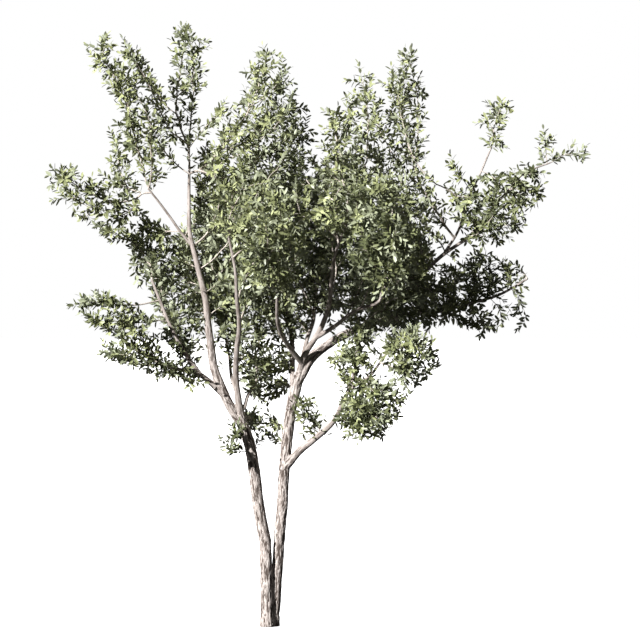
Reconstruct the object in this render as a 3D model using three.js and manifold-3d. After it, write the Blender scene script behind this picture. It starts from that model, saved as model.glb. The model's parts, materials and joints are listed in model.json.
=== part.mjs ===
// An olive tree on two stems that share one foot: limbs that taper, and uneven masses of foliage on them.
// Millimetres, +Z up, +X to the right of the tree's open face, -Y towards whoever looks at that face.
// The origin is on the flat cut under the trunk, at ground level.
import * as THREE from "three";
import { mergeVertices } from "three/addons/utils/BufferGeometryUtils.js";
import Module from "manifold-3d";

const crotch = 620; // the height at which the trunk becomes two stems
const rootDepth = 60; // how far a stem is drawn below the ground before the flat cut
const seam = 0.4; // what two touching solids are kept apart by
const massSeam = 1.2; // the same between masses, whose surfaces are uneven
const rootFlare = { out: 7, height: 70 };
const collar = { share: 0.45, length: 2.2 }; // a limb's swelling at its foot, in shares of its foot radius
const ringStep = 260; // the longest stretch of limb between two rings
const framesPerRing = 4; // how finely a limb's section frames follow its curve
const massFrames = 24; // the same for the whole of a mass
const unevenness = 0.2; // how far a mass swells and sinks, as a share of its girth
const bluntness = 0.75; // how much fuller than an egg a mass is towards its two ends
const depthShare = 1.25; // a mass is this much deeper than it is wide
const tinyGirth = 245; // a mass thinner than this is a spray and has fewer faces
const cutBox = 3000; // a box that is larger than the foot of the tree, for the level cuts

const bark = { color: "#a89a8f", roughness: 0.92, metalness: 0 };
const paleBark = { color: "#b4a9a0", roughness: 0.88, metalness: 0 };
const foliage = { color: "#75835a", roughness: 0.75, metalness: 0 };

// The two stems, each drawn whole from below the ground to its fork.
const stems = {
  left_stem: {
    girth: [46, 42],
    route: [[-28, -20, -rootDepth], [-28, -20, 310], [-33, -20, 560], [-50, -24, 700], [-80, -30, 830],
      [-105, -40, 980], [-122, -56, 1150], [-142, -64, 1290], [-168, -76, 1400], [-232, -90, 1570]],
  },
  right_stem: {
    girth: [42, 41],
    route: [[10, 24, -rootDepth], [12, 24, 100], [26, 24, 300], [45, 22, 480], [62, 20, 640], [76, 20, 770],
      [84, 18, 920], [88, 18, 1060], [103, 12, 1240], [138, 18, 1530], [162, 20, 1710], [205, 20, 1870]],
  },
};

// Each bough leaves its parent at a share of the parent's length and runs through the points of its route.
// girth is its radius at the foot and at the tip.
const boughs = {
  left_leader: {
    from: "left_stem", at: 0.96, girth: [38, 9],
    route: [[-310, -105, 1670], [-368, -115, 1790], [-425, -125, 1960], [-455, -135, 2150],
      [-465, -150, 2310], [-520, -160, 2610], [-588, -160, 2840], [-608, -160, 3090], [-606, -160, 3440]],
  },
  low_left_bough: {
    from: "left_leader", at: 0.09, girth: [25, 12],
    route: [[-455, -135, 1835], [-556, -160, 1905], [-680, -225, 1930], [-820, -320, 1975]],
  },
  left_bough: {
    from: "low_left_bough", at: 0.45, girth: [19, 10],
    route: [[-638, -170, 2050], [-700, -195, 2160], [-772, -225, 2320], [-832, -235, 2470],
      [-880, -235, 2590]],
  },
  left_fork: {
    from: "left_leader", at: 0.7, girth: [11, 7],
    route: [[-698, -170, 2990], [-788, -195, 3120], [-905, -225, 3270]],
  },
  inner_left_bough: {
    from: "left_stem", at: 0.9, girth: [27, 9],
    route: [[-222, -115, 1680], [-262, -160, 1870], [-274, -210, 1980], [-244, -260, 2090],
      [-229, -345, 2260], [-248, -455, 2490], [-262, -545, 2730], [-300, -575, 2890]],
  },
  inner_left_back: {
    from: "inner_left_bough", at: 0.2, girth: [13, 8],
    route: [[-284, -60, 1810], [-304, 20, 1960], [-338, 150, 2130], [-368, 305, 2260]],
  },
  cross_bough: {
    from: "inner_left_bough", at: 0.13, girth: [14, 8],
    route: [[-156, -60, 1770], [-104, 20, 1850], [-112, 90, 1940], [-135, 160, 2020]],
  },
  low_right_bough: {
    from: "right_stem", at: 0.64, girth: [29, 18],
    route: [[165, -20, 1270], [240, -70, 1340], [412, -195, 1485], [488, -275, 1580], [538, -335, 1690]],
  },
  low_right_rise: {
    from: "low_right_bough", at: 0.95, girth: [13, 8],
    route: [[564, -335, 1760], [608, -345, 1830], [630, -360, 1960], [645, -375, 2110], [660, -375, 2250]],
  },
  low_right_out: {
    from: "low_right_rise", at: 0.2, girth: [13, 8],
    route: [[670, -375, 1842], [742, -405, 1892], [810, -425, 1984], [862, -440, 2066]],
  },
  back_up_bough: {
    from: "right_stem", at: 0.9, girth: [23, 13],
    route: [[154, 60, 1810], [162, 125, 1960], [157, 225, 2110], [128, 390, 2300], [90, 575, 2480]],
  },
  great_right_bough: {
    from: "right_stem", at: 0.97, girth: [41, 23],
    route: [[248, 20, 1940], [300, 30, 2010], [382, 60, 2082], [562, 160, 2194], [855, 305, 2305]],
  },
  right_mid_bough: {
    from: "great_right_bough", at: 0.93, girth: [19, 8],
    route: [[1005, 335, 2340], [1192, 345, 2350], [1380, 335, 2396], [1642, 290, 2464], [1800, 260, 2516],
      [1920, 235, 2600]],
  },
  right_upper_bough: {
    from: "great_right_bough", at: 0.85, girth: [20, 12],
    route: [[968, 235, 2456], [1065, 170, 2561], [1155, 125, 2659], [1268, 90, 2771], [1380, 60, 2846],
      [1492, 40, 2921]],
  },
  right_tip_bough: {
    from: "right_upper_bough", at: 0.97, girth: [11, 5],
    route: [[1612, 30, 3079], [1732, 20, 3221], [1838, 10, 3334], [1942, 0, 3431], [2090, 0, 3476]],
  },
  right_spire_bough: {
    from: "right_upper_bough", at: 0.77, girth: [10, 6],
    route: [[1402, 70, 2959], [1448, 70, 3124], [1522, 60, 3296], [1598, 60, 3454], [1650, 60, 3580]],
  },
  front_right_bough: {
    from: "right_stem", at: 0.985, girth: [25, 9],
    route: [[248, -30, 2029], [308, -80, 2111], [368, -160, 2224], [420, -250, 2344], [442, -335, 2479],
      [458, -405, 2636], [502, -515, 2876], [555, -545, 2980]],
  },
  front_left_bough: {
    from: "front_right_bough", at: 0.1, girth: [19, 10],
    route: [[172, -90, 2066], [98, -225, 2149], [60, -375, 2261], [52, -575, 2449], [68, -685, 2590]],
  },
  right_reach_bough: {
    from: "front_right_bough", at: 0.27, girth: [16, 8],
    route: [[450, -225, 2246], [548, -305, 2276], [600, -375, 2351], [780, -515, 2426], [848, -560, 2486],
      [862, -590, 2621], [892, -620, 2771], [940, -635, 2880]],
  },
  back_right_bough: {
    from: "front_right_bough", at: 0.08, girth: [17, 10],
    route: [[270, 60, 2149], [308, 160, 2239], [322, 305, 2389], [345, 485, 2554], [390, 685, 2734],
      [420, 845, 2890]],
  },
};

// Each mass follows a path from the limb that bears it to its own tip.
// girth is its half width at even shares of that path.
const masses = {
  top_spire: {
    girth: [60, 110, 160, 175, 120],
    path: [[-608, -160, 3440], [-618, -130, 3980], [-652, -60, 4590]],
  },
  top_left_plume: {
    girth: [130, 195, 215, 205, 160],
    path: [[-840, -215, 3250], [-880, -250, 3650], [-995, -330, 3990], [-1345, -430, 4390]],
  },
  left_upper_plume: {
    girth: [95, 135, 145, 115, 75],
    path: [[-985, -225, 2850], [-1130, -60, 3310], [-1185, 170, 3800]],
  },
  left_far_plume: {
    girth: [105, 150, 175, 170, 105],
    path: [[-1030, -225, 2790], [-1310, -330, 3150], [-1690, -400, 3390]],
  },
  left_mid_mass: {
    girth: [95, 145, 190, 240, 150],
    path: [[-560, -40, 1830], [-650, -40, 2160], [-740, 0, 2500], [-1010, 60, 3060]],
  },
  low_left_upper: {
    girth: [80, 140, 155, 145, 85],
    path: [[-790, -295, 2000], [-1118, -420, 2284], [-1480, -540, 2430]],
  },
  low_left_lower: {
    girth: [60, 95, 80, 105, 125, 110, 65],
    path: [[-480, -250, 1730], [-640, -240, 1850], [-800, -310, 1950], [-1058, -280, 2000],
      [-1310, -150, 2080]],
  },
  left_stem_spray: {
    girth: [50, 90, 90, 55],
    path: [[-205, -115, 1500], [-290, -235, 1400], [-310, -275, 1240]],
  },
  left_core: {
    girth: [110, 170, 190, 170, 95],
    path: [[-352, 260, 2170], [-385, 240, 2520], [-420, 260, 3050], [-520, 300, 3680]],
  },
  back_left: {
    girth: [140, 260, 270, 160],
    path: [[-370, 305, 2240], [-450, 760, 2674], [-450, 1000, 3300]],
  },
  inner_left_mass: {
    girth: [140, 210, 230, 200, 105],
    path: [[-290, -515, 2800], [-260, -320, 3200], [-350, -240, 3960]],
  },
  inner_left_low: {
    girth: [150, 225, 235, 170],
    path: [[-150, 110, 1900], [-190, 20, 2260], [-155, -50, 2800]],
  },
  cross_mass: { girth: [130, 205, 205, 130], path: [[-100, 60, 1650], [-10, 245, 2110]] },
  low_cross_spray: {
    girth: [60, 105, 105, 60],
    path: [[-185, -60, 1560], [-90, 60, 1520], [35, 160, 1345]],
  },
  centre_peak: {
    girth: [160, 250, 265, 235, 125],
    path: [[90, 405, 2560], [80, 225, 2900], [50, 60, 3480], [-80, 0, 4390]],
  },
  centre_shoulder: {
    girth: [110, 140, 130, 90],
    path: [[215, 135, 2780], [185, 250, 3100], [215, 330, 3980]],
  },
  centre_mid: { girth: [150, 230, 250, 190], path: [[130, 360, 2060], [100, 235, 2500], [70, 160, 3000]] },
  front_centre: {
    girth: [130, 260, 265, 170],
    path: [[60, -635, 2460], [8, -900, 2824], [-68, -1020, 3300]],
  },
  back_centre: { girth: [140, 270, 295, 190], path: [[95, 545, 2440], [0, 990, 2899], [-68, 1150, 3500]] },
  right_peak_one: {
    girth: [120, 160, 155, 90],
    path: [[545, -530, 2930], [502, -480, 3424], [488, -450, 3945]],
  },
  right_peak_two: {
    girth: [140, 190, 190, 170, 100],
    path: [[760, -210, 2900], [712, -60, 3574], [670, 60, 4215]],
  },
  right_peak_three: {
    girth: [145, 190, 200, 205, 105],
    path: [[1000, -125, 2900], [985, 60, 3574], [975, 120, 4000], [1065, 200, 4410]],
  },
  right_core: { girth: [190, 280, 290, 200], path: [[640, -60, 2170], [840, -60, 2580], [968, 0, 3080]] },
  front_right: {
    girth: [140, 250, 260, 160],
    path: [[850, -635, 2500], [820, -950, 2824], [758, -1020, 3350]],
  },
  back_right: {
    girth: [140, 230, 280, 290, 180],
    path: [[440, 480, 2240], [470, 800, 2700], [518, 1080, 3124], [592, 1150, 3650]],
  },
  back_low_right: {
    girth: [150, 270, 280, 160],
    path: [[960, 420, 2160], [968, 860, 2674], [1005, 1080, 3090]],
  },
  small_spire: {
    girth: [75, 125, 95, 75, 60],
    path: [[1235, 90, 2800], [1275, -20, 3120], [1358, -100, 3340], [1280, -150, 3600]],
  },
  right_spire: { girth: [95, 130, 120, 70], path: [[1645, 60, 3520], [1748, 160, 4035]] },
  right_main: {
    girth: [150, 255, 265, 185, 90],
    path: [[1420, 50, 2890], [1690, -60, 3140], [2090, -120, 3370]],
  },
  right_end_one: { girth: [75, 110, 105, 60], path: [[1965, 0, 3480], [2138, 60, 3722]] },
  right_end_two: { girth: [45, 85, 95, 60], path: [[2060, 0, 3470], [2318, 0, 3520], [2448, 0, 3536]] },
  right_mid_mass: {
    girth: [135, 205, 215, 170, 80],
    path: [[900, 305, 2330], [1268, 320, 2445], [1530, 290, 2590], [1940, 240, 2650]],
  },
  right_under_spray: {
    girth: [50, 90, 95, 60],
    path: [[1310, 325, 2330], [1535, 340, 2270], [1750, 380, 2205]],
  },
  low_right_upper: {
    girth: [145, 240, 245, 145],
    path: [[830, -430, 1950], [1000, -480, 2010], [1210, -520, 2150]],
  },
  low_right_lower: {
    girth: [150, 235, 240, 185, 90],
    path: [[470, -335, 1600], [710, -390, 1610], [970, -425, 1780]],
  },
  low_right_inner: {
    girth: [95, 150, 145, 95],
    path: [[520, -335, 1780], [600, -345, 1984], [700, -360, 2260]],
  },
  right_stem_spray: {
    girth: [50, 105, 115, 75],
    path: [[322, -125, 1390], [275, -150, 1580], [140, -170, 1690]],
  },
};

const wasm = await Module();
wasm.setup();

// ---- solids and cuts ----

function solidOf(geometry) {
  const bare = geometry.index ? geometry.toNonIndexed() : geometry.clone();
  bare.deleteAttribute("normal");
  bare.deleteAttribute("uv");
  const merged = mergeVertices(bare, 1e-3);
  const mesh = {
    numProp: 3,
    vertProperties: merged.attributes.position.array,
    triVerts: new Uint32Array(merged.index.array),
  };
  return new wasm.Manifold(new wasm.Mesh(mesh));
}

function geometryOf(solid) {
  const mesh = solid.getMesh();
  const geometry = new THREE.BufferGeometry();
  geometry.setAttribute("position", new THREE.BufferAttribute(mesh.vertProperties, mesh.numProp));
  geometry.setIndex(new THREE.BufferAttribute(mesh.triVerts, 1));
  return geometry;
}

// A cut can leave loose slivers beside the piece, so the largest body is the piece.
function largestBody(solid) {
  const bodies = solid.decompose();
  return bodies.reduce((best, body) => (body.volume() > best.volume() ? body : best));
}

function levelSlab(bottom, top) {
  const box = new THREE.BoxGeometry(cutBox, cutBox, top - bottom);
  return solidOf(box.translate(0, 0, (top + bottom) / 2));
}

function boxesMeet(a, b) {
  const [p, q] = [a.boundingBox(), b.boundingBox()];
  return [0, 1, 2].every((i) => p.min[i] < q.max[i] && q.min[i] < p.max[i]);
}

function cutRound(solid, cutters) {
  return cutters.reduce((left, cutter) => (boxesMeet(left, cutter) ? left.subtract(cutter) : left), solid);
}

// ---- limbs ----

const curveThrough = (points) =>
  new THREE.CatmullRomCurve3(points.map((p) => new THREE.Vector3(...p)), false, "centripetal");

// A value along a path from a short list of evenly spaced ones.
function alongList(list, share) {
  const place = share * (list.length - 1);
  const i = Math.min(Math.floor(place), list.length - 2);
  return THREE.MathUtils.lerp(list[i], list[i + 1], THREE.MathUtils.smoothstep(place - i, 0, 1));
}

// Bends a shape that stands along +Y, from -1 to 1, round a curve.
// pointAt gives the radius at a share of the curve, and how far ahead along it the point is pushed.
function bendRound(geometry, curve, steps, pointAt) {
  const frames = curve.computeFrenetFrames(steps, false);
  const positions = geometry.attributes.position;
  const unit = new THREE.Vector3();
  for (let i = 0; i < positions.count; i++) {
    unit.fromBufferAttribute(positions, i);
    const share = THREE.MathUtils.clamp((unit.y + 1) / 2, 0, 1);
    const step = Math.min(Math.floor(share * steps), steps - 1);
    const part = share * steps - step;
    const normal = frames.normals[step].clone().lerp(frames.normals[step + 1], part);
    const tangent = frames.tangents[step].clone().lerp(frames.tangents[step + 1], part).normalize();
    normal.addScaledVector(tangent, -normal.dot(tangent)).normalize();
    const binormal = new THREE.Vector3().crossVectors(tangent, normal);
    const at = pointAt(share, unit);
    const out = binormal.multiplyScalar(unit.x * at.radius).addScaledVector(normal, unit.z * at.radius);
    out.y *= at.depth ?? 1;
    const point = curve.getPointAt(share).addScaledVector(tangent, at.ahead).add(out);
    positions.setXYZ(i, point.x, point.y, point.z);
  }
  return geometry;
}

function limbSolid(limb, grow = 0) {
  const { curve, girth, isStem } = limb;
  const length = curve.getLength();
  const rings = Math.max(4, Math.ceil(length / ringStep));
  const sides = isStem ? 10 : girth[0] > 24 ? 8 : 6;
  const radiusAt = (share) => {
    const along = share * length;
    const plain = THREE.MathUtils.lerp(girth[0], girth[1], share);
    if (isStem) return plain + rootFlare.out * Math.exp(-(along - rootDepth) / rootFlare.height);
    return plain + collar.share * girth[0] * Math.exp(-along / (collar.length * girth[0]));
  };
  const tube = new THREE.CylinderGeometry(1, 1, 2, sides, rings);
  bendRound(tube, curve, rings * framesPerRing, (share, unit) => {
    const isTipCentre = share === 1 && Math.hypot(unit.x, unit.z) < 1e-6;
    return { radius: radiusAt(share) + grow, ahead: isTipCentre ? girth[1] + grow : share * grow };
  });
  return solidOf(tube);
}

function buildLimbs() {
  const limbs = {};
  for (const [name, { route, girth }] of Object.entries(stems))
    limbs[name] = { curve: curveThrough(route), girth, isStem: true };
  for (const [name, { from, at, route, girth }] of Object.entries(boughs)) {
    const foot = limbs[from].curve.getPointAt(at).toArray();
    limbs[name] = { curve: curveThrough([foot, ...route]), girth };
  }
  return limbs;
}

// ---- masses of foliage ----

// Swells and hollows over a mass, different for each seed.
function lumps(unit, seed) {
  const wave = (a, b, c, phase) => Math.sin(a * unit.x + b * unit.y + c * unit.z + phase);
  return wave(2.6, 3.9, 1.7, seed * 2.4) * 0.5 + wave(-3.1, 5.2, 3.4, seed * 3.7) * 0.35
    + wave(5.3, -6.1, 4.6, seed * 5.1) * 0.25;
}

function massSolid({ path, girth }, seed, grow = 0) {
  const detail = Math.max(...girth) < tinyGirth ? 1 : 2;
  const round = new THREE.IcosahedronGeometry(1, detail);
  const ball = mergeVertices(round.deleteAttribute("normal").deleteAttribute("uv"));
  bendRound(ball, curveThrough(path), massFrames, (share, unit) => {
    const full = alongList(girth, share) * (1 + bluntness * unit.y * unit.y);
    const radius = full * (1 + unevenness * lumps(unit, seed)) + grow * 2;
    return { radius, ahead: unit.y * grow * 2, depth: depthShare };
  });
  return solidOf(ball);
}

// ---- the tree ----

const tree = new THREE.Group();
tree.name = "olive_tree";

function addNode(name, solid, look) {
  const mesh = new THREE.Mesh(geometryOf(largestBody(solid)), new THREE.MeshStandardMaterial(look));
  mesh.name = name;
  tree.add(mesh);
}

const limbs = buildLimbs();
const placed = []; // every limb a little fatter, as what the next ones are cut round

const wholeStems = Object.keys(stems).map((name) => limbSolid(limbs[name]));
const foot = wholeStems[0].add(wholeStems[1]).intersect(levelSlab(0, crotch));
addNode("trunk", foot, bark);
const widerFoot = limbSolid(limbs.left_stem, seam).add(limbSolid(limbs.right_stem, seam));
placed.push(widerFoot.intersect(levelSlab(-1, crotch)));

for (const name of Object.keys(stems)) {
  const below = levelSlab(-cutBox, crotch + seam);
  addNode(name, limbSolid(limbs[name]).subtract(below), bark);
  placed.push(limbSolid(limbs[name], seam).subtract(below));
}
for (const name of Object.keys(boughs)) {
  addNode(name, cutRound(limbSolid(limbs[name]), placed), paleBark);
  placed.push(limbSolid(limbs[name], seam));
}
Object.entries(masses).forEach(([name, mass], i) => {
  addNode(name, cutRound(massSolid(mass, i + 1), placed), foliage);
  placed.push(massSolid(mass, i + 1, massSeam));
});

export default tree;
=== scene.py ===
import json
import math
import bpy
import numpy as np
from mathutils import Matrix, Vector, kdtree, noise
from mathutils.bvhtree import BVHTree


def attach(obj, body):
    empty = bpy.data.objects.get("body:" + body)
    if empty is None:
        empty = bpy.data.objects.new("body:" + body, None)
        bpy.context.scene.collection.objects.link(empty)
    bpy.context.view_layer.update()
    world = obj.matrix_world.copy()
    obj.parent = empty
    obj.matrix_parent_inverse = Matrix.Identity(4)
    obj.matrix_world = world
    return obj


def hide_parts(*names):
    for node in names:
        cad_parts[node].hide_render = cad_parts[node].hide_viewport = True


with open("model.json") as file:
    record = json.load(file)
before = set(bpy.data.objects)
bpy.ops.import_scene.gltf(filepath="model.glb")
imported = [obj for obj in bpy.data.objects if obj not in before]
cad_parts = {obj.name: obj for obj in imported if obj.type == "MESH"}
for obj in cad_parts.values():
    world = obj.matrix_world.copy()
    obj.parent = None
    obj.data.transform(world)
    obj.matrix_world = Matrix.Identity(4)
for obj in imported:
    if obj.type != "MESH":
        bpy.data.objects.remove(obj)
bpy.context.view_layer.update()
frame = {"nodes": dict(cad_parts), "record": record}
rng = np.random.default_rng(20)
noise.seed_set(20)       # noise_vector draws on this seed, which is the time of day otherwise
mm = 0.001
up = np.array((0.0, 0.0, 1.0))

slotOf = {part["node"]: part["material_slot"] for part in frame["record"]["subparts"]}
trunkName = "trunk"
stemNames = [n for n, s in slotOf.items() if s == "old_bark" and n != trunkName]
boughNames = [n for n, s in slotOf.items() if s == "smooth_bark"]
massNames = [n for n, s in slotOf.items() if s == "foliage"]
print("frame loaded:", len(stemNames), "stems,", len(boughNames), "boughs,", len(massNames), "masses")


# small helpers

def unit(v):
    return v / np.maximum(np.linalg.norm(v, axis=-1, keepdims=True), 1e-9)


def smooth(x, low, high):
    t = np.clip((x - low) / (high - low), 0, 1)
    return t * t * (3 - 2 * t)


def linearColour(hexText):
    # sRGB hex to the linear colour that a shader socket takes
    parts = [int(hexText[i:i + 2], 16) / 255 for i in (1, 3, 5)]
    return [c / 12.92 if c <= 0.04045 else ((c + 0.055) / 1.055) ** 2.4 for c in parts] + [1.0]


def newObject(name, points, edges=(), faces=()):
    mesh = bpy.data.meshes.new(name)
    mesh.from_pydata([tuple(p) for p in points], [tuple(map(int, e)) for e in edges],
                     [tuple(map(int, f)) for f in faces])
    mesh.update()
    obj = bpy.data.objects.new(name, mesh)
    bpy.context.scene.collection.objects.link(obj)
    return obj


def addAttribute(mesh, name, kind, values):
    layer = mesh.attributes.new(name, kind, "POINT")
    field = "vector" if kind == "FLOAT_VECTOR" else "value"
    layer.data.foreach_set(field, np.asarray(values, np.float32).ravel())


def vertexArray(mesh):
    co = np.empty(len(mesh.vertices) * 3, np.float32)
    mesh.vertices.foreach_get("co", co)
    return co.reshape(-1, 3).astype(float)


def solidArrays(obj):
    # a CAD node's mesh is loose triangles, so shared corners are merged here
    mesh = obj.data
    mesh.calc_loop_triangles()
    corners = np.empty(len(mesh.loop_triangles) * 3, np.int32)
    mesh.loop_triangles.foreach_get("vertices", corners)
    points, index = np.unique(np.round(vertexArray(mesh), 5), axis=0, return_inverse=True)
    return points, index.reshape(-1)[corners].reshape(-1, 3)


def bakedMesh(obj, name):
    # the evaluated object as a plain mesh object, in place of the one with modifiers
    graph = bpy.context.evaluated_depsgraph_get()
    mesh = bpy.data.meshes.new_from_object(obj.evaluated_get(graph), depsgraph=graph)
    mesh.name = name
    bpy.data.objects.remove(obj)
    piece = bpy.data.objects.new(name, mesh)
    bpy.context.scene.collection.objects.link(piece)
    return piece


def resample(points, values, step):
    # an even, smooth line through the points, with the values carried along
    points, values = np.asarray(points, float), np.asarray(values, float)
    ahead, behind = 2 * points[0] - points[1], 2 * points[-1] - points[-2]
    p = np.vstack((ahead, points, behind))
    dense, denseValues = [], []
    for i in range(len(points) - 1):
        t = np.linspace(0, 1, 16, endpoint=False)[:, None]
        a, b, c, d = p[i:i + 4]
        square, cube = 2 * a - 5 * b + 4 * c - d, 3 * b - a - 3 * c + d
        dense.append(0.5 * (2 * b + (c - a) * t + square * t**2 + cube * t**3))
        denseValues.append(values[i] + (values[i + 1] - values[i]) * smooth(t[:, 0], 0, 1))
    dense = np.vstack(dense + [points[-1:]])
    denseValues = np.concatenate(denseValues + [values[-1:]])
    run = np.concatenate(([0], np.cumsum(np.linalg.norm(np.diff(dense, axis=0), axis=1))))
    even = np.linspace(0, run[-1], max(3, int(run[-1] / step) + 1))
    line = np.column_stack([np.interp(even, run, dense[:, k]) for k in range(3)])
    return line, np.interp(even, run, denseValues)


def lineFrames(line):
    # tangents and turning-free side vectors along a line
    tangents = unit(np.gradient(line, axis=0))
    side = np.cross(tangents[0], (0.31, 0.85, 0.42))
    sides = []
    for tangent in tangents:
        side = unit(side - tangent * (side @ tangent))
        sides.append(side)
    sides = np.array(sides)
    return tangents, sides, np.cross(tangents, sides)


def tube(line, radii, corners):
    # points and faces of a closed tube along a line
    tangents, sides, others = lineFrames(line)
    angles = np.arange(corners) * 2 * math.pi / corners
    ring = np.cos(angles)[None, :, None] * sides[:, None] + np.sin(angles)[None, :, None] * others[:, None]
    points = (line[:, None] + ring * radii[:, None, None]).reshape(-1, 3)
    faces = []
    for i in range(len(line) - 1):
        for k in range(corners):
            a, b = i * corners + k, i * corners + (k + 1) % corners
            faces.append((a, b, b + corners, a + corners))
    low, high = len(points), len(points) + 1
    ends = line[0] - tangents[0] * radii[0] * 0.4, line[-1] + tangents[-1] * radii[-1] * 0.6
    points = np.vstack((points, *ends))
    last = (len(line) - 1) * corners
    for k in range(corners):
        faces.append((low, (k + 1) % corners, k))
        faces.append((high, last + k, last + (k + 1) % corners))
    return points, faces


def joined(parts):
    points, faces, start = [], [], 0
    for p, f in parts:
        points.append(p)
        faces += [tuple(start + i for i in face) for face in f]
        start += len(p)
    return np.vstack(points), faces


# the middle lines of the limbs, read from the frame

spineLook = {
    "step": 0.012,
    "footHeights": (0.05, 0.12, 0.25, 0.42), "flareHeight": 0.11,       # how the foot widens to the ground
    "rootSwell": 1.3, "rootLimit": 0.85, "forkSwell": 1.12, "farFork": 0.25,
    "wanderMm": 3.5, "wandersPerMetre": 4.5, "swell": 0.05, "swellsPerMetre": 9.0,
}


def limbRings(name):
    # from the middle of the rounded tip, each ring of corners is one step further down the limb
    points, faces = solidArrays(frame["nodes"][name])
    links = [set() for _ in points]
    for a, b, c in faces:
        links[a] |= {b, c}
        links[b] |= {a, c}
        links[c] |= {a, b}

    def unevenness(i):
        gaps = np.linalg.norm(points[list(links[i])] - points[i], axis=1)
        return gaps.std() / gaps.mean() if len(gaps) >= 6 else 9.0
    tip = min(range(len(points)), key=unevenness)
    ring, seen = set(links[tip]), {tip}
    sides = len(ring)
    centres, radii = [points[tip]], [0.0]
    while len(ring) == sides:
        corners = points[list(ring)]
        centres.append(corners.mean(axis=0))
        radii.append(np.linalg.norm(corners - centres[-1], axis=1).mean())
        seen |= ring
        ring = set().union(*(links[i] for i in ring)) - seen
    radii[0] = radii[1] * 0.8
    rest = [i for i in range(len(points)) if i not in seen]
    return np.array(centres[::-1]), np.array(radii[::-1]), points[rest] if rest else None


def fitCircle(points):
    a = np.column_stack((points[:, :2] * 2, np.ones(len(points))))
    x, y, c = np.linalg.lstsq(a, (points[:, :2] ** 2).sum(axis=1), rcond=None)[0]
    return x, y, math.sqrt(c + x * x + y * y)


def stemSpine(name):
    # a stem's line goes on down through its own half of the trunk to the ground
    centres, radii, _ = limbRings(name)
    points, _ = solidArrays(frame["nodes"][trunkName])
    lowest, highest = points[:, 2].min(), points[:, 2].max()
    outward = unit((centres[0] - points.mean(axis=0))[:2])
    foot = []
    for level in (lowest, highest):
        outline = points[abs(points[:, 2] - level) < 1 * mm]
        reach = outline[:, :2] @ outward
        x, y, r = fitCircle(outline[reach > 0.45 * reach.max()])
        foot.append((x, y, level, r))
    flare = foot[0][3] - foot[1][3]
    heights = np.array((lowest, *spineLook["footHeights"], highest))
    share = heights / highest
    path = np.column_stack([foot[0][k] + (foot[1][k] - foot[0][k]) * share for k in (0, 1)] + [heights])
    flared = foot[1][3] + flare * np.exp(-heights / spineLook["flareHeight"])
    return np.vstack((path, centres)), np.concatenate((flared, radii))


def nearestOn(line, point):
    gaps = np.linalg.norm(line - point, axis=1)
    i = int(gaps.argmin())
    return i, gaps[i]


limbs = {}
for name in stemNames:
    line, radii = resample(*stemSpine(name), spineLook["step"])
    limbs[name] = {"line": line, "radii": radii}
for name in boughNames:
    centres, radii, cutCorners = limbRings(name)
    foot = cutCorners.mean(axis=0) if cutCorners is not None else centres[0]

    def gapTo(other):
        i, gap = nearestOn(limbs[other]["line"], foot)
        return gap - limbs[other]["radii"][i]
    parent = min(limbs, key=gapTo)
    i, _ = nearestOn(limbs[parent]["line"], foot)
    i = max(i - int(radii[0] / spineLook["step"]), 0)        # limbs leave a little below where they show
    root = limbs[parent]["line"][i]
    reach = np.linalg.norm(centres[0] - root)
    thickest = limbs[parent]["radii"][i] * spineLook["rootLimit"]
    path, sizes = [root], [min(radii[0] * spineLook["rootSwell"], thickest)]
    far = spineLook["farFork"] * reach
    if np.linalg.norm(foot - root) > far and np.linalg.norm(foot - centres[0]) > far:
        path.append(foot)
        sizes.append(radii[0] * spineLook["forkSwell"])
    line, fine = resample(np.vstack((path, centres)), np.concatenate((sizes, radii)), spineLook["step"])
    limbs[name] = {"line": line, "radii": fine}

for k, limb in enumerate(limbs.values()):
    # natural limbs wander and swell a little between their forks
    run = np.arange(len(limb["line"])) * spineLook["step"]
    ease = np.minimum(smooth(run, 0, 0.15), 1)[:, None]
    wanders, swells = run * spineLook["wandersPerMetre"], run * spineLook["swellsPerMetre"]
    wander = np.array([noise.noise_vector(Vector((s, k * 3.1, 0.7))) for s in wanders])
    swell = np.array([noise.noise(Vector((s, k * 5.3, 4.2))) for s in swells])
    byGirth = np.clip(limb["radii"] / 0.02, 0.5, 1.5)[:, None]
    limb["line"] = limb["line"] + wander * ease * byGirth * spineLook["wanderMm"] * mm
    limb["radii"] = limb["radii"] * (1 + spineLook["swell"] * swell)
print("limb lines read:", {n: round(len(l["line"]) * spineLook["step"], 2) for n, l in limbs.items()})


# bark: one skin over the trunk, the stems and the boughs

barkLook = {
    "voxelMm": 5.0, "thinnestMm": 11.0, "thickSides": 20, "thinSides": 10, "smoothing": 4, "shrunkMm": 0.9,
    "pitWideMm": 14.0, "pitLongMm": 80.0, "pitDepthMm": 3.4, "pitFrom": -0.42, "pitTo": 0.30, "level": 0.7,
    "roughMm": 1.2, "ripplesAcross": 95, "ripplesAlong": 42,            # ripples in a metre
    "oldFromMm": 20.0, "oldToMm": 36.0,      # limb radius over which smooth bark turns to old bark
}


def limbTable():
    # every limb's line in one table, for finding the stretch that a point belongs to
    rows = {"place": [], "tangent": [], "side": [], "other": [], "along": [], "radius": [], "limb": []}
    for k, limb in enumerate(limbs.values()):
        tangents, sides, others = lineFrames(limb["line"])
        rows["place"].append(limb["line"])
        rows["tangent"].append(tangents)
        rows["side"].append(sides)
        rows["other"].append(others)
        rows["along"].append(np.arange(len(limb["line"])) * spineLook["step"] + k * 3.7)
        rows["radius"].append(limb["radii"])
        rows["limb"].append(np.full(len(limb["line"]), k))
    return {key: np.concatenate(value) for key, value in rows.items()}


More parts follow.
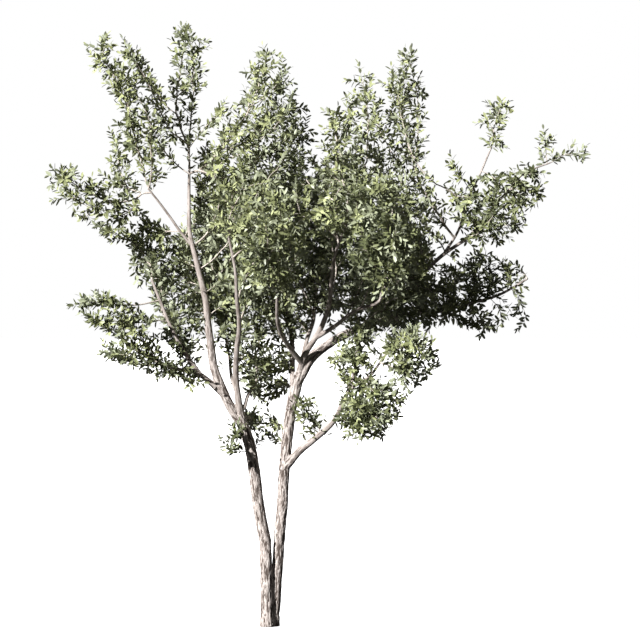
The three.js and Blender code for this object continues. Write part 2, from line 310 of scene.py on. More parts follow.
def nearestRows(table, points):
    tree = kdtree.KDTree(len(table["place"]))
    for i, place in enumerate(table["place"]):
        tree.insert(place, i)
    tree.balance()
    rows = np.empty(len(points), int)
    for i, point in enumerate(points):
        # of the closest stretches, the one whose own surface is nearest
        found = tree.find_n(point, 6)
        rows[i] = min(found, key=lambda hit: abs(hit[2] - table["radius"][hit[1]]))[1]
    return rows


def barkRelief(place, old):
    # long pits between flaky ridges on old bark, low ripples on smooth bark
    look = barkLook
    wide, long = look["pitWideMm"] * mm, look["pitLongMm"] * mm
    ridge = np.empty(len(place))
    ripple = np.empty(len(place))
    across, along = look["ripplesAcross"], look["ripplesAlong"]
    for i, (x, y, z) in enumerate(place):
        ridge[i] = noise.fractal((x / wide, y / wide, z / long), 0.55, 2.2, 3)
        ripple[i] = noise.fractal((x * across, y * across, z * along), 0.7, 2.1, 3)
    ridge = smooth(ridge, look["pitFrom"], look["pitTo"])
    lift = (ridge - look["level"]) * look["pitDepthMm"] * mm * old
    return lift + ripple * look["roughMm"] * mm * (0.35 + 0.65 * old), ridge


def barkParts():
    # thick stretches go through the remesh, thin ones stay as swept tubes
    thick, thin = [], []
    for name, limb in limbs.items():
        line, radii = limb["line"], limb["radii"]
        isThick = radii * 1000 > barkLook["thinnestMm"]
        isThick[:6] = True
        last = int(np.nonzero(isThick)[0].max()) + 1
        thick.append(tube(line[:last], radii[:last], barkLook["thickSides"]))
        if last < len(line) - 2:
            start = max(last - 4, 0)
            radiiHere = radii[start:].copy()
            radiiHere[:2] *= 0.9
            thin.append(tube(line[start:], radiiHere, barkLook["thinSides"]))
    return joined(thick), joined(thin)


def buildBark():
    (points, faces), (thinPoints, thinFaces) = barkParts()
    rough = newObject("bark_form", points, faces=faces)
    remesh = rough.modifiers.new("skin", "REMESH")
    remesh.mode = "VOXEL"
    remesh.voxel_size = barkLook["voxelMm"] * mm
    soften = rough.modifiers.new("soften", "SMOOTH")
    soften.factor, soften.iterations = 0.5, barkLook["smoothing"]
    skin = bakedMesh(rough, "bark_skin")
    mesh = skin.data
    points = vertexArray(mesh)
    quads = np.empty(len(mesh.loops), np.int32)
    mesh.loops.foreach_get("vertex_index", quads)
    quads = quads.reshape(-1, 4)
    normals = np.empty(len(points) * 3, np.float32)
    mesh.vertices.foreach_get("normal", normals)
    bpy.data.objects.remove(skin)

    points = np.vstack((points, thinPoints))
    normals = np.vstack((normals.reshape(-1, 3), np.zeros_like(thinPoints)))
    firstThin = len(points) - len(thinPoints)
    faces = [tuple(q) for q in quads.tolist()] + [tuple(i + firstThin for i in f) for f in thinFaces]
    table = limbTable()
    rows = nearestRows(table, points)
    offset = points - table["place"][rows]
    x = (offset * table["side"][rows]).sum(axis=1)
    y = (offset * table["other"][rows]).sum(axis=1)
    z = (offset * table["tangent"][rows]).sum(axis=1) + table["along"][rows]
    place = np.column_stack((x, y, z))
    old = smooth(table["radius"][rows] * 1000, barkLook["oldFromMm"], barkLook["oldToMm"])
    lift, plate = barkRelief(place, old)
    onGround = smooth(points[:, 2], 0.0, 0.012)             # the cut stays level
    # what smoothing took away from the thicker limbs
    shrink = smooth(table["radius"][rows] * 1000, 6, 16) * barkLook["shrunkMm"] * mm
    points = points + normals * ((lift + shrink) * onGround)[:, None]
    points[:, 2] = np.maximum(points[:, 2], 0.0)
    isStem = table["limb"][rows] < len(stemNames)

    def part(name, chosen):
        used = np.unique(np.concatenate([np.asarray(f) for f in chosen]))
        index = np.full(len(points), -1)
        index[used] = np.arange(len(used))
        piece = newObject(name, points[used], faces=[[index[i] for i in f] for f in chosen])
        addAttribute(piece.data, "barkPlace", "FLOAT_VECTOR", place[used])
        addAttribute(piece.data, "barkAge", "FLOAT", old[used])
        addAttribute(piece.data, "barkPlate", "FLOAT", plate[used])
        piece.data.shade_smooth()
        return piece
    stemFaces = [f for f in faces if isStem[f[0]]]
    boughFaces = [f for f in faces if not isStem[f[0]]]
    return part("stems", stemFaces), part("boughs", boughFaces)


stems, boughs = buildBark()
print("bark made:", len(stems.data.polygons), "stem faces,", len(boughs.data.polygons), "bough faces")


# growth: twigs grown on from the limbs into the masses

growthLook = {
    # metres between shoot tips: in slim low masses, in thick masses, and in slim masses high up
    "closest": 0.066, "widest": 0.082, "airiest": 0.092,
    "thin": 0.20, "thick": 0.60, "airyFrom": 2.3, "airyTo": 3.3,    # mass thickness and height for those
    "inset": 0.012,                 # tips stay this far inside a mass
    "forkHeight": 1.6, "spreadToThickness": 3.2, "tries": 14, "heartTries": 8,
    "heartLow": (-0.45, -1.05, 2.35), "heartHigh": (1.20, 1.30, 3.35), "heartGap": 0.10, "bridge": 0.20,
    "openFace": (-0.2, 2.9),        # in front of this and below this the limbs stay in view
    "step": 0.04, "reached": 0.105, "sees": 0.25, "crowded": 0.35, "patience": 3, "rounds": 70,
    "startGap": 5, "startSees": 0.17,
    "alongMass": 0.34, "upward": 0.12,
    "shootTipMm": 0.7, "shootFootMm": 1.5, "pipe": 2.35, "leastFeed": 0.6,
}


def massAim(points):
    # the way a mass grows, which is its long axis away from the fork, and how thick it is
    middle = points.mean(axis=0)
    spreads, axes = np.linalg.eigh(np.cov((points - middle).T))
    axis = axes[:, -1]
    fork = up * growthLook["forkHeight"]
    thickness = math.sqrt(spreads[0]) * growthLook["spreadToThickness"]
    return (axis if axis @ (middle - fork) > 0 else -axis), thickness


def shootTips():
    # even, random places inside the masses: each is where one leafy shoot ends
    look = growthLook
    taken, places, aims, skins = {}, [], [], []

    def take(point, aim, spacing):
        cell = tuple(np.floor(point / look["closest"]).astype(int))
        near = [q for dx in (-2, -1, 0, 1, 2) for dy in (-2, -1, 0, 1, 2) for dz in (-2, -1, 0, 1, 2)
                for q in taken.get((cell[0] + dx, cell[1] + dy, cell[2] + dz), ())]
        if near and np.min(np.linalg.norm(np.array(near) - point, axis=1)) < spacing:
            return
        taken.setdefault(cell, []).append(point)
        places.append(point)
        aims.append(aim)

    for name in massNames:
        points, faces = solidArrays(frame["nodes"][name])
        skin = BVHTree.FromPolygons([tuple(p) for p in points], [tuple(map(int, f)) for f in faces])
        aim, thickness = massAim(points)
        skins.append((skin, aim))
        share = smooth(thickness, look["thin"], look["thick"])
        airy = smooth(points[:, 2].mean(), look["airyFrom"], look["airyTo"])
        slim = look["closest"] + (look["airiest"] - look["closest"]) * airy
        spacing = slim + (look["widest"] - slim) * share
        low, high = points.min(axis=0), points.max(axis=0)
        tries = int(np.prod(high - low) / spacing**3 * look["tries"])
        for point in low + rng.random((tries, 3)) * (high - low):
            spot, normal, _, gap = skin.find_nearest(point)
            if (spot - Vector(point)).dot(normal) >= 0 and gap >= look["inset"]:
                take(point, aim, spacing)

    # sparse shoots close the crown's heart between the masses
    low, high = np.array(look["heartLow"]), np.array(look["heartHigh"])
    tries = int(np.prod(high - low) / look["heartGap"]**3 * look["heartTries"])
    for point in low + rng.random((tries, 3)) * (high - low):
        if point[1] < look["openFace"][0] and point[2] < look["openFace"][1]:
            continue
        found = [(skin.find_nearest(point, look["bridge"]), aim) for skin, aim in skins]
        found = [(hit, aim) for hit, aim in found if hit[0] is not None]
        if len(found) > 1 and all((hit[0] - Vector(point)).dot(hit[1]) < 0 for hit, _ in found):
            take(point, unit(sum(aim for _, aim in found)), look["heartGap"])
    return np.array(places), np.array(aims)


def growTwigs(tips, aims):
    look = growthLook
    nodes, parents, limbRadius = [], [], []
    for limb in limbs.values():
        limb["firstNode"] = len(nodes)
        stride = int(look["step"] / spineLook["step"])
        for i in range(0, len(limb["line"]), stride):
            nodes.append(limb["line"][i])
            parents.append(len(nodes) - 2 if i else -1)
            limbRadius.append(limb["radii"][i])
    limbCount = len(nodes)
    tipTree = kdtree.KDTree(len(tips))
    for i, tip in enumerate(tips):
        tipTree.insert(tip, i)
    tipTree.balance()
    isStart = np.ones(limbCount + len(tips) * look["rounds"], bool)
    isStart[:limbCount] = False
    for k, limb in enumerate(limbs.values()):
        # twigs leave a limb here and there where there are leaves near it, and from its end
        count = 1 + (len(limb["line"]) - 1) // stride
        first = limb["firstNode"]
        for i in range(first + k % 3 + 2, first + count, look["startGap"]):
            isStart[i] = tipTree.find(nodes[i])[2] < look["startSees"]
        isStart[first + count - 1] = True
    waiting = np.arange(len(tips))
    holder = np.full(len(tips), -1)
    stuck = np.zeros(len(tips), int)
    for _ in range(look["rounds"]):
        tree, startTree = kdtree.KDTree(len(nodes)), kdtree.KDTree(len(nodes))
        for i, node in enumerate(nodes):
            tree.insert(node, i)
            if isStart[i]:
                startTree.insert(node, i)
        tree.balance()
        startTree.balance()
        pulls, left = {}, []
        for t in waiting:
            _, i, gap = tree.find(tips[t])
            if gap < look["reached"] or stuck[t] > look["patience"]:
                holder[t] = i
            else:
                left.append(t)
                _, i, gap = startTree.find(tips[t])
                if gap < look["sees"]:
                    pulls.setdefault(i, []).append(t)
        waiting = np.array(left, int)
        if not pulls:
            break
        for i, pulling in pulls.items():
            way = unit(tips[pulling] - nodes[i]).mean(axis=0)
            way = way + aims[pulling].mean(axis=0) * look["alongMass"]
            new = nodes[i] + unit(way + up * look["upward"]) * look["step"]
            _, _, gap = tree.find(new)
            if gap < look["step"] * look["crowded"]:
                stuck[pulling] += 1
                continue
            nodes.append(new)
            parents.append(i)
            limbRadius.append(0.0)
    unreached = int((holder < 0).sum())
    print("growth:", len(nodes) - limbCount, "twig nodes,", len(tips), "shoots,", unreached, "not reached")
    return np.array(nodes), np.array(parents), np.array(limbRadius), limbCount, holder


tips, aims = shootTips()
nodes, parents, limbRadius, limbCount, holder = growTwigs(tips, aims)


def smoothTwigs(rounds=4):
    children = [[] for _ in nodes]
    for i, p in enumerate(parents):
        if p >= 0:
            children[p].append(i)
    for _ in range(rounds):
        moved = nodes.copy()
        for i in range(limbCount, len(nodes)):
            if children[i]:
                ahead = nodes[children[i]].mean(axis=0)
                moved[i] = nodes[i] * 0.5 + (nodes[parents[i]] + ahead) * 0.25
        nodes[:] = moved
    return children


children = smoothTwigs()


def twigRadii():
    # a twig is as thick as the shoots it feeds need
    look = growthLook
    feeds = np.zeros(len(nodes))
    for i in holder[holder >= 0]:
        feeds[i] += 1
    for i in range(len(nodes) - 1, limbCount - 1, -1):
        feeds[i] = max(feeds[i], look["leastFeed"])
        feeds[parents[i]] += feeds[i]
    return look["shootFootMm"] * mm * feeds ** (1 / look["pipe"]), feeds


twigRadius, feeds = twigRadii()


# node trees: one small function adds a node with its settings and links

def addNode(tree, kind, inputs=None, **settings):
    node = tree.nodes.new(kind)
    for key, value in settings.items():
        setattr(node, key, value)
    for key, value in (inputs or {}).items():
        if isinstance(value, bpy.types.NodeSocket):
            tree.links.new(value, node.inputs[key])
        else:
            node.inputs[key].default_value = value
    return node


def newTree(name, sockets):
    # a Geometry Nodes tree with its named inputs
    tree = bpy.data.node_groups.new(name, "GeometryNodeTree")
    tree.interface.new_socket("Geometry", in_out="INPUT", socket_type="NodeSocketGeometry")
    for socketName, kind, value in sockets:
        socket = tree.interface.new_socket(socketName, in_out="INPUT", socket_type="NodeSocket" + kind)
        if value is not None:
            socket.default_value = value
    tree.interface.new_socket("Geometry", in_out="OUTPUT", socket_type="NodeSocketGeometry")
    return tree, tree.nodes.new("NodeGroupInput").outputs


def throughTree(obj, tree, values, name):
    # the object's points sent through a tree, and the result as a plain mesh
    modifier = obj.modifiers.new(tree.name, "NODES")
    modifier.node_group = tree
    for item in tree.interface.items_tree:
        if item.item_type == "SOCKET" and item.in_out == "INPUT" and item.name in values:
            modifier[item.identifier] = values[item.name]
    return bakedMesh(obj, name)


# twigs: a tube along every grown line

twigLook = {
    "pointGap": 0.02, "wanderMm": 2.5, "wandersPerMetre": 9, "footSwell": 1.15, "tipEase": 0.25, "Sides": 5,
}
shootLook = {
    "points": 5, "shortest": 0.085, "past": 0.035, "rise": 0.5,
    "ahead": 0.55, "aim": 0.15, "bendAt": 0.45, "Sides": 3,
}


def twigLines():
    # each line goes on through the child that feeds most, and side twigs start lines of their own
    following = {}
    for i in range(limbCount, len(nodes)):
        own = [c for c in children[i] if c >= limbCount]
        if own:
            following[i] = max(own, key=lambda c: feeds[c])
    carried = set(following.values())
    lines = []
    for i in range(limbCount, len(nodes)):
        if i in carried:
            continue
        chain = [parents[i], i]
        while chain[-1] in following:
            chain.append(following[chain[-1]])
        radii = twigRadius[chain]
        radii[0] = radii[1] * twigLook["footSwell"]
        if parents[i] < limbCount:
            # a line that goes on from a limb's end starts as thick as the limb is there
            isEnd = parents[i] + 1 == limbCount or parents[parents[i] + 1] != parents[i]
            if isEnd and feeds[i] >= max(feeds[c] for c in children[parents[i]]):
                run = np.arange(len(chain)) * growthLook["step"]
                radii = np.maximum(radii, limbRadius[parents[i]] * np.exp(-run / twigLook["tipEase"]))
            radii = np.minimum(radii, max(limbRadius[parents[i]], 0.003))
        line, radii = resample(nodes[chain], radii, twigLook["pointGap"])
        run = np.arange(len(line)) * twigLook["pointGap"]
        wanders = run * twigLook["wandersPerMetre"]
        wander = np.array([noise.noise_vector(Vector((s, i * 1.7, 2.2))) for s in wanders])
        line = line + wander * smooth(run, 0, 0.08)[:, None] * twigLook["wanderMm"] * mm
        lines.append((line, radii))
    return lines


def shootLines():
    # a shoot leaves its twig forwards and bends to where it ends
    look, lines = shootLook, []
    t = np.linspace(0, 1, look["points"])[:, None]
    for tip, aim, h in zip(tips, aims, holder):
        foot = nodes[h]
        ahead = unit(foot - nodes[parents[h]]) if parents[h] >= 0 else up
        gap = tip - foot
        length = max(np.linalg.norm(gap), look["shortest"]) + rng.random() * look["past"]
        way = unit(unit(gap) + up * look["rise"])
        end = foot + way * length
        bend = foot + unit(way + look["ahead"] * ahead + look["aim"] * aim) * length * look["bendAt"]
        line = foot * (1 - t) ** 2 + bend * 2 * t * (1 - t) + end * t**2
        radii = np.linspace(growthLook["shootFootMm"], growthLook["shootTipMm"], len(line)) * mm
        lines.append((line, radii))
    return lines


def lineObject(name, lines):
    points = np.vstack([line for line, _ in lines])
    edges, start = [], 0
    for line, _ in lines:
        edges += [(start + i, start + i + 1) for i in range(len(line) - 1)]
        start += len(line)
    obj = newObject(name, points, edges=edges)
    addAttribute(obj.data, "thickness", "FLOAT", np.concatenate([radii for _, radii in lines]))
    return obj


def tubeTree():
    tree, given = newTree("tube along lines", [("Sides", "Int", 5), ("Material", "Material", None)])
    thickness = addNode(tree, "GeometryNodeInputNamedAttribute", {"Name": "thickness"}, data_type="FLOAT")
    curve = addNode(tree, "GeometryNodeMeshToCurve", {"Mesh": given["Geometry"]})
    sized = addNode(tree, "GeometryNodeSetCurveRadius", {"Curve": curve.outputs[0], "Radius": 1.0})
    ring = addNode(tree, "GeometryNodeCurvePrimitiveCircle", {"Resolution": given["Sides"], "Radius": 1.0})
    skin = addNode(tree, "GeometryNodeCurveToMesh", {
        "Curve": sized.outputs[0], "Profile Curve": ring.outputs[0], "Scale": thickness.outputs[0],
        "Fill Caps": True})
    shaded = addNode(tree, "GeometryNodeSetShadeSmooth", {"Geometry": skin.outputs[0], "Shade Smooth": True})
    real = addNode(tree, "GeometryNodeRealizeInstances", {"Geometry": shaded.outputs[0]})
    painted = addNode(tree, "GeometryNodeSetMaterial", {
        "Geometry": real.outputs[0], "Material": given["Material"]})
    addNode(tree, "NodeGroupOutput", {0: painted.outputs[0]})
    return tree


# leaves: opposite pairs up every shoot and thin twig

leafLook = {
    "leafyFromMm": 2.9, "twigShare": 0.7,        # twigs thinner than this keep this share of their leaves
    "gapMm": 25, "gapLeast": 0.9, "gapRange": 0.2, "firstMm": 16,
    "spreadFoot": 64, "spreadTip": 40, "droop": 0.08, "towardsLight": 0.45,
    "smallest": 0.86, "sizeRange": 0.26, "tipShrink": 0.26, "lastAngle": 0.35,
    "turnScatter": 0.22, "angleScatter": 9, "axisScatter": 0.06, "faceScatter": 0.42,
    "Length": 0.058, "Width": 0.0215, "Fold": 0.22, "Curl": 0.10,
}


def leafPlaces(line, shareKept):
    # places, axes, upper sides and sizes of the leaves along one line
    look = leafLook
    step = np.linalg.norm(np.diff(line, axis=0), axis=1)
    run = np.concatenate(([0], np.cumsum(step)))
    gap = look["gapMm"] * mm * (look["gapLeast"] + look["gapRange"] * rng.random())
    at = np.arange(look["firstMm"] * mm, run[-1], gap)
    isShoot = shareKept >= 1
    if isShoot:
        at = np.append(at[at < run[-1] - 0.4 * look["gapMm"] * mm], run[-1])
    if len(at) == 0:
        return None
    tangents, sides, others = lineFrames(line)
    pick = np.clip(np.searchsorted(run, at), 1, len(line) - 1)
    place = np.column_stack([np.interp(at, run, line[:, k]) for k in range(3)])
    tangent, side, other = tangents[pick], sides[pick], others[pick]
    share = at / run[-1]
    turn = np.arange(len(at)) * math.pi / 2 + rng.random() * 6.3
    out = []
    for half in (0, math.pi):
        around = turn + half + rng.normal(0, look["turnScatter"], len(at))
        angle = look["spreadFoot"] + (look["spreadTip"] - look["spreadFoot"]) * share
        angle = angle + rng.normal(0, look["angleScatter"], len(at))
        if isShoot:
            angle[-1] *= look["lastAngle"]      # the last leaf goes on where its shoot was going
        angle = np.radians(angle)
        away = np.cos(around)[:, None] * side + np.sin(around)[:, None] * other
        axis = np.cos(angle)[:, None] * tangent + np.sin(angle)[:, None] * away - up * look["droop"]
        axis = unit(axis + rng.normal(0, look["axisScatter"], axis.shape))
        face = unit(tangent - (tangent * axis).sum(axis=1)[:, None] * axis)
        face = face + up * look["towardsLight"] + rng.normal(0, look["faceScatter"], face.shape)
        face = unit(face - (face * axis).sum(axis=1)[:, None] * axis)
        size = look["smallest"] + look["sizeRange"] * rng.random(len(at))
        size = size * (1 - look["tipShrink"] * smooth(share, 0.6, 1.0))
        keep = rng.random(len(at)) < shareKept
        if isShoot and half:
            keep[-1] = False
        out.append((place[keep], axis[keep], face[keep], size[keep]))
    return [np.concatenate(group) for group in zip(*out)]


def bladeTree():
    # a blade widest at its middle, folded a little along its rib and curled towards its tip, on each point
    tree, given = newTree("leaves on points", [
        ("Length", "Float", 0.055), ("Width", "Float", 0.018), ("Fold", "Float", 0.2),
        ("Curl", "Float", 0.1), ("Material", "Material", None)])

    def maths(operation, a, b=0.0):
        return addNode(tree, "ShaderNodeMath", {0: a, 1: b}, operation=operation).outputs[0]
    blades = []
    for curlShare, widthShare in ((0.4, 1.0), (1.0, 0.88), (-0.5, 1.1)):
        grid = addNode(tree, "GeometryNodeMeshGrid", {
            "Size X": 1.0, "Size Y": 1.0, "Vertices X": 3, "Vertices Y": 5})
        place = addNode(tree, "GeometryNodeInputPosition")
        parts = addNode(tree, "ShaderNodeSeparateXYZ", {0: place.outputs[0]})
        run = maths("ADD", parts.outputs["Y"], 0.5)
        rest = maths("SUBTRACT", 1.0, run)
        outline = maths("POWER", maths("MULTIPLY", maths("MULTIPLY", run, rest), 4.0), 0.5)
        across = maths("MULTIPLY", maths("MULTIPLY", parts.outputs["X"], outline),
                       maths("MULTIPLY", given["Width"], widthShare))
        along = maths("MULTIPLY", run, given["Length"])
        fold = maths("MULTIPLY", maths("ABSOLUTE", across), given["Fold"])
        drop = maths("MULTIPLY", maths("MULTIPLY", maths("MULTIPLY", run, run), along),
                     maths("MULTIPLY", given["Curl"], curlShare))
        shaped = addNode(tree, "ShaderNodeCombineXYZ", {
            0: across, 1: along, 2: maths("SUBTRACT", fold, drop)})
        blade = addNode(tree, "GeometryNodeSetPosition", {
            "Geometry": grid.outputs[0], "Position": shaped.outputs[0]})
        closed = addNode(tree, "GeometryNodeMergeByDistance", {
            "Geometry": blade.outputs[0], "Distance": 0.0002})
        blades.append(addNode(tree, "GeometryNodeGeometryToInstance", {0: closed.outputs[0]}).outputs[0])
    kinds = tree.nodes.new("GeometryNodeJoinGeometry")
    for blade in blades:
        tree.links.new(blade, kinds.inputs[0])

    def named(name, kind):
        return addNode(tree, "GeometryNodeInputNamedAttribute", {"Name": name}, data_type=kind).outputs[0]
    turned = addNode(tree, "FunctionNodeAxesToRotation", {
        0: named("leafAxis", "FLOAT_VECTOR"), 1: named("leafFace", "FLOAT_VECTOR")},
        primary_axis="Y", secondary_axis="Z")
    placed = addNode(tree, "GeometryNodeInstanceOnPoints", {
        "Points": given["Geometry"], "Instance": kinds.outputs[0], "Pick Instance": True,
        "Instance Index": named("leafKind", "INT"), "Rotation": turned.outputs[0],
        "Scale": named("leafSize", "FLOAT")})
    real = addNode(tree, "GeometryNodeRealizeInstances", {"Geometry": placed.outputs[0]})
    shaded = addNode(tree, "GeometryNodeSetShadeSmooth", {"Geometry": real.outputs[0], "Shade Smooth": True})
    painted = addNode(tree, "GeometryNodeSetMaterial", {
        "Geometry": shaded.outputs[0], "Material": given["Material"]})
    addNode(tree, "NodeGroupOutput", {0: painted.outputs[0]})
    return tree


# materials

def newMaterial(name):
    material = bpy.data.materials.new(name)
    material.use_nodes = True
    tree = material.node_tree
    tree.nodes.clear()
    shader = addNode(tree, "ShaderNodeBsdfPrincipled")
    addNode(tree, "ShaderNodeOutputMaterial", {"Surface": shader.outputs[0]})
    return material, tree, shader


def mixed(tree, share, a, b):
    node = addNode(tree, "ShaderNodeMix", {0: share, 6: a, 7: b}, data_type="RGBA")
    return node.outputs[2]


def stretched(tree, vector, x, y, z):
    return addNode(tree, "ShaderNodeMapping", {"Vector": vector, "Scale": (x, y, z)}).outputs[0]


def levels(tree, value, low, high):
    return addNode(tree, "ShaderNodeMapRange", {0: value, 1: low, 2: high, 3: 0.0, 4: 1.0}).outputs[0]


# olive leaf: leathery, with a thin wax over the upper side and pale scales below, so that lit blades
# glint grey-green and turned ones show paler
leafTints = {
    "young": ("#a2a77b", "#8f9467"), "fresh": ("#8a8f66", "#787d55"), "grown": ("#7b805b", "#696e4a"),
    "deep": ("#5a5f42", "#494e34"), "silvery": ("#91967c", "#7e8368"),
}
leafUnderside = "#94997f"


def leafMaterial(name, tints):
    material, tree, shader = newMaterial(name)
    place = addNode(tree, "ShaderNodeTexCoord").outputs["Object"]
    patch = addNode(tree, "ShaderNodeTexNoise", {"Vector": place, "Scale": 1000 / 70, "Detail": 1.0})
    share = levels(tree, patch.outputs[0], 0.35, 0.65)
    upper = mixed(tree, share, linearColour(tints[0]), linearColour(tints[1]))
    behind = addNode(tree, "ShaderNodeNewGeometry").outputs["Backfacing"]
    tree.links.new(mixed(tree, behind, upper, linearColour(leafUnderside)), shader.inputs["Base Color"])
    vein = addNode(tree, "ShaderNodeTexNoise", {"Vector": place, "Scale": 1000 / 4, "Detail": 2.0})
    bump = addNode(tree, "ShaderNodeBump", {
        "Height": vein.outputs[0], "Strength": 0.3, "Distance": 0.4 * mm})
    tree.links.new(bump.outputs[0], shader.inputs["Normal"])
    shader.inputs["Roughness"].default_value = 0.42
    shader.inputs["IOR"].default_value = 1.45
    return material


# olive bark: pale grey with long dark flecks between the ridges of the old wood, and painted shade in the
# pits between those ridges; closed and pinkish on the young, so that the stems look dry and streaked along
# their length
def barkMaterial(name, aged):
    material, tree, shader = newMaterial(name)
    place = addNode(tree, "ShaderNodeAttribute", attribute_name="barkPlace").outputs["Vector"]
    plate = addNode(tree, "ShaderNodeAttribute", attribute_name="barkPlate").outputs["Fac"]
    age = addNode(tree, "ShaderNodeAttribute", attribute_name="barkAge").outputs["Fac"]
    flakes = addNode(tree, "ShaderNodeTexNoise", {
        "Vector": stretched(tree, place, 1.0, 1.0, 0.28), "Scale": 1000 / 11,
        "Detail": 6.0, "Roughness": 0.65})
    clouds = addNode(tree, "ShaderNodeTexNoise", {
        "Vector": stretched(tree, place, 1.0, 1.0, 0.5), "Scale": 1000 / 90, "Detail": 3.0})
    flecks = addNode(tree, "ShaderNodeTexNoise", {
        "Vector": stretched(tree, place, 1.0, 1.0, 0.15), "Scale": 1000 / 13,
        "Detail": 4.0, "Roughness": 0.6})
    young = mixed(
        tree, levels(tree, clouds.outputs[0], 0.35, 0.65), linearColour("#877d76"), linearColour("#ada39d"))
    young = mixed(tree, levels(tree, flecks.outputs[0], 0.49, 0.36), young, linearColour("#6a5f58"))
    old = mixed(
        tree, levels(tree, flakes.outputs[0], 0.38, 0.62), linearColour("#8d827b"), linearColour("#c6bdb7"))
    old = mixed(tree, levels(tree, flecks.outputs[0], 0.50, 0.37), old, linearColour("#5b4f48"))
    grain = mixed(tree, levels(tree, flakes.outputs[0], 0.32, 0.46), linearColour("#6b5e56"), young)
    base = mixed(tree, age, grain, old)
    # painted shade: where the old bark's relief dips into a pit, its colour is darkened towards #4a3f38
    pitShadeShare = addNode(tree, "ShaderNodeMath", {
        0: age, 1: levels(tree, plate, 0.42, 0.04)}, operation="MULTIPLY")
    pitShaded = mixed(tree, pitShadeShare.outputs[0], base, linearColour("#4a3f38"))
    tree.links.new(pitShaded, shader.inputs["Base Color"])
    fine = addNode(tree, "ShaderNodeTexNoise", {
        "Vector": stretched(tree, place, 1.0, 1.0, 0.4), "Scale": 1000 / 5, "Detail": 4.0})
    bump = addNode(tree, "ShaderNodeBump", {
        "Height": flecks.outputs[0], "Strength": 0.7, "Distance": (3.0 if aged else 0.9) * mm})
    finer = addNode(tree, "ShaderNodeBump", {
        "Height": fine.outputs[0], "Strength": 0.5, "Distance": 0.6 * mm, "Normal": bump.outputs[0]})
    tree.links.new(finer.outputs[0], shader.inputs["Normal"])
    shader.inputs["Roughness"].default_value = 0.88 if aged else 0.78
    return material


# one-year olive wood: smooth and dull, so that twigs read as thin pale lines among the leaves
def twigMaterial(name, light, dark):
    material, tree, shader = newMaterial(name)
    place = addNode(tree, "ShaderNodeTexCoord").outputs["Object"]
    patch = addNode(tree, "ShaderNodeTexNoise", {"Vector": place, "Scale": 1000 / 25, "Detail": 3.0})
    tint = mixed(tree, levels(tree, patch.outputs[0], 0.35, 0.65), linearColour(dark), linearColour(light))
    tree.links.new(tint, shader.inputs["Base Color"])
    bump = addNode(tree, "ShaderNodeBump", {
        "Height": patch.outputs[0], "Strength": 0.4, "Distance": 0.5 * mm})
    tree.links.new(bump.outputs[0], shader.inputs["Normal"])
    shader.inputs["Roughness"].default_value = 0.7
    return material


stems.data.materials.append(barkMaterial("old_olive_bark_fissured", True))
boughs.data.materials.append(barkMaterial("young_olive_bark_closed", False))

twigs = twigLines()
shoots = shootLines()
tubes = tubeTree()
twigBark = twigMaterial("olive_twig_bark", "#c4bab0", "#998d84")
greenBark = twigMaterial("green_olive_shoot", "#9b9d7c", "#7e8163")
branchlets = throughTree(lineObject("branchlet_lines", twigs), tubes, {
    "Sides": twigLook["Sides"], "Material": twigBark}, "branchlets")
shootStems = throughTree(lineObject("shoot_lines", shoots), tubes, {
    "Sides": shootLook["Sides"], "Material": greenBark}, "shoot_stems")
print("twigs made:", len(branchlets.data.polygons), "and", len(shootStems.data.polygons), "faces")


# how wide the drifts are, how much sprays scatter across them, how strongly height lightens the tints as
# painted light, and what each tint takes
tintLook = {
    "perMetre": 2.2, "scatter": 0.35, "paintedLightByHeight": 0.35, "middle": 2.6, "reach": 2.0,
    "young": 0.42, "fresh": 0.02, "deep": -0.38, "silveryShare": 0.16,
}


def dealtTint(place):
    # young sprays lean towards the top and deep ones lower down, in drifts; the lean with height is painted
    # light on the crown's top and painted shade below it
    look = tintLook
    drift = noise.noise(Vector(place * look["perMetre"])) + rng.normal(0, look["scatter"])
    # painted light and shade: the higher a spray, the lighter the tint it is dealt
    height = (place[2] - look["middle"]) / look["reach"]
    value = drift + look["paintedLightByHeight"] * height
    if value > look["young"]:
        return "young"
    if value < look["deep"]:
        return "deep"
    if rng.random() < look["silveryShare"]:
        return "silvery"
    return "fresh" if value > look["fresh"] else "grown"


leafPoints = {tint: [] for tint in leafTints}
for line, _ in shoots:
    leafPoints[dealtTint(line[-1])].append(leafPlaces(line, 1.0))
for line, radii in twigs:
    thin = line[radii < leafLook["leafyFromMm"] * mm]
    if len(thin) > 2:
        found = leafPlaces(thin, leafLook["twigShare"])
        if found:
            leafPoints[dealtTint(thin[-1])].append(found)

blades = bladeTree()
leafPieces = []
for tint, groups in leafPoints.items():
    place, axis, face, size = [np.concatenate(group) for group in zip(*groups)]
    points = newObject("leaf_points_" + tint, place)
    addAttribute(points.data, "leafAxis", "FLOAT_VECTOR", axis)
    addAttribute(points.data, "leafFace", "FLOAT_VECTOR", face)
    addAttribute(points.data, "leafSize", "FLOAT", size)
    kind = points.data.attributes.new("leafKind", "INT", "POINT")
    kind.data.foreach_set("value", rng.integers(0, 3, len(place)).astype(np.int32))
    values = {key: leafLook[key] for key in ("Length", "Width", "Fold", "Curl")}
    values["Material"] = leafMaterial("olive_leaf_" + tint, leafTints[tint])
    leafPieces.append(throughTree(points, blades, values, "leaves_" + tint))
    print("leaves made:", tint, len(place))

for piece, slot, replaced in (
    (stems, "old_bark", [trunkName] + stemNames), (boughs, "smooth_bark", boughNames),
    (branchlets, "smooth_bark", []), (shootStems, "foliage", massNames),
    *((piece, "foliage", massNames) for piece in leafPieces),
):
    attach(piece, "root")
    if replaced:
        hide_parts(*replaced)


# floor, light and camera

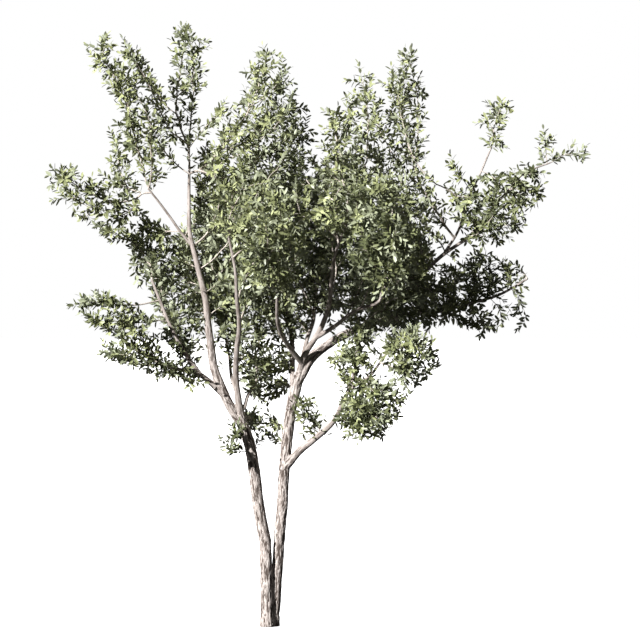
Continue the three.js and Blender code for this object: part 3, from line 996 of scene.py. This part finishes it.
# the sun's turn is measured from the tree's open face and its height from the ground, in degrees
stageLook = {
    "floor": 400.0, "ambient": 0.095, "sunTurn": -44.0, "sunHeight": 26.0, "sun": 9.6, "sunSoftness": 1.2,
}
floor = newObject("floor", [(x * stageLook["floor"], y * stageLook["floor"], -0.001) for x, y in
                            ((-1, -1), (1, -1), (1, 1), (-1, 1))], faces=[(0, 1, 2, 3)])
paper, tree, shader = newMaterial("white_paper")
shader.inputs["Base Color"].default_value = linearColour("#f4f4f4")
shader.inputs["Roughness"].default_value = 0.9
shader.inputs["Emission Color"].default_value = (1, 1, 1, 1)
shader.inputs["Emission Strength"].default_value = 1.0
floor.data.materials.append(paper)
floor.visible_diffuse = floor.visible_glossy = False        # the paper doesn't light the tree from below

world = bpy.data.worlds.new("white_studio")
world.use_nodes = True
sky = world.node_tree
sky.nodes.clear()
seen = addNode(sky, "ShaderNodeLightPath").outputs["Is Camera Ray"]
soft = addNode(sky, "ShaderNodeBackground", {"Color": (1, 1, 1, 1), "Strength": stageLook["ambient"]})
white = addNode(sky, "ShaderNodeBackground", {"Color": (1, 1, 1, 1), "Strength": 1.0})
both = addNode(sky, "ShaderNodeMixShader", {0: seen, 1: soft.outputs[0], 2: white.outputs[0]})
addNode(sky, "ShaderNodeOutputWorld", {"Surface": both.outputs[0]})
bpy.context.scene.world = world
bpy.context.scene.view_settings.view_transform = "Standard"

sun = bpy.data.lights.new("sun", "SUN")
sun.energy, sun.angle = stageLook["sun"], math.radians(stageLook["sunSoftness"])
sunObject = bpy.data.objects.new("sun", sun)
sunObject.rotation_euler = (math.radians(90 - stageLook["sunHeight"]), 0, math.radians(stageLook["sunTurn"]))
bpy.context.scene.collection.objects.link(sunObject)

camera = bpy.data.cameras.new("camera")
camera.lens, camera.sensor_width, camera.clip_end = 200, 36, 2000
cameraObject = bpy.data.objects.new("camera", camera)
cameraObject.location = (0.3675, -26.667, 2.29875)
cameraObject.rotation_euler = (math.pi / 2, 0, 0)
bpy.context.scene.collection.objects.link(cameraObject)
bpy.context.scene.camera = cameraObject

bpy.context.view_layer.update()
